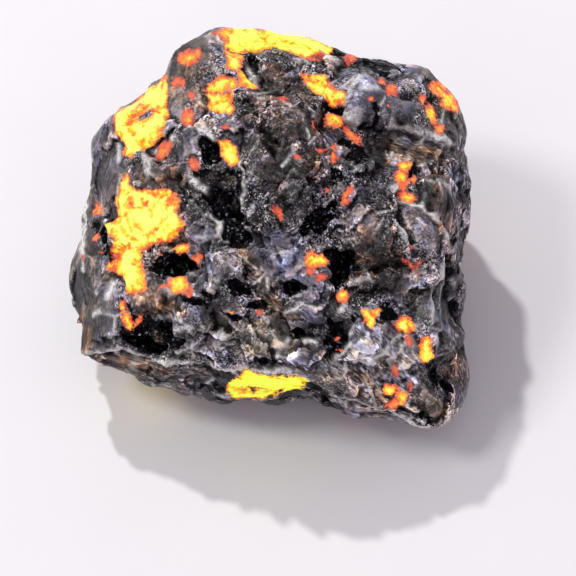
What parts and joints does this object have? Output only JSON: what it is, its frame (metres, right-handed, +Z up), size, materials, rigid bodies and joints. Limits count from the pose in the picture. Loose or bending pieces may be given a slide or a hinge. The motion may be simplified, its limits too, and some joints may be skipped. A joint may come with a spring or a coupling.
{
  "type": "rough sodalite syenite",
  "caption": "Rough hand-sized lump of grey syenite with glowing orange and yellow sodalite patches, broken on all sides, that rests on a flat broken base.",
  "frame": {"origin": "on the floor, under the middle of the stone's bounding box", "axes": "+Z up, +X along the width of the broad fracture face, +Y from the low front of that face towards its high back edge; the face leans back 30 degrees from level and looks towards -Y and +Z"},
  "size_m": [0.0606, 0.0556, 0.0402],
  "materials": {
    "syenite": "rough broken rock, grey with black grains and rusty stains, and patches of sodalite that glow yellow and orange"
  },
  "bodies": {
    "root": {"syenite_stone": "syenite"}
  },
  "joints": []
}
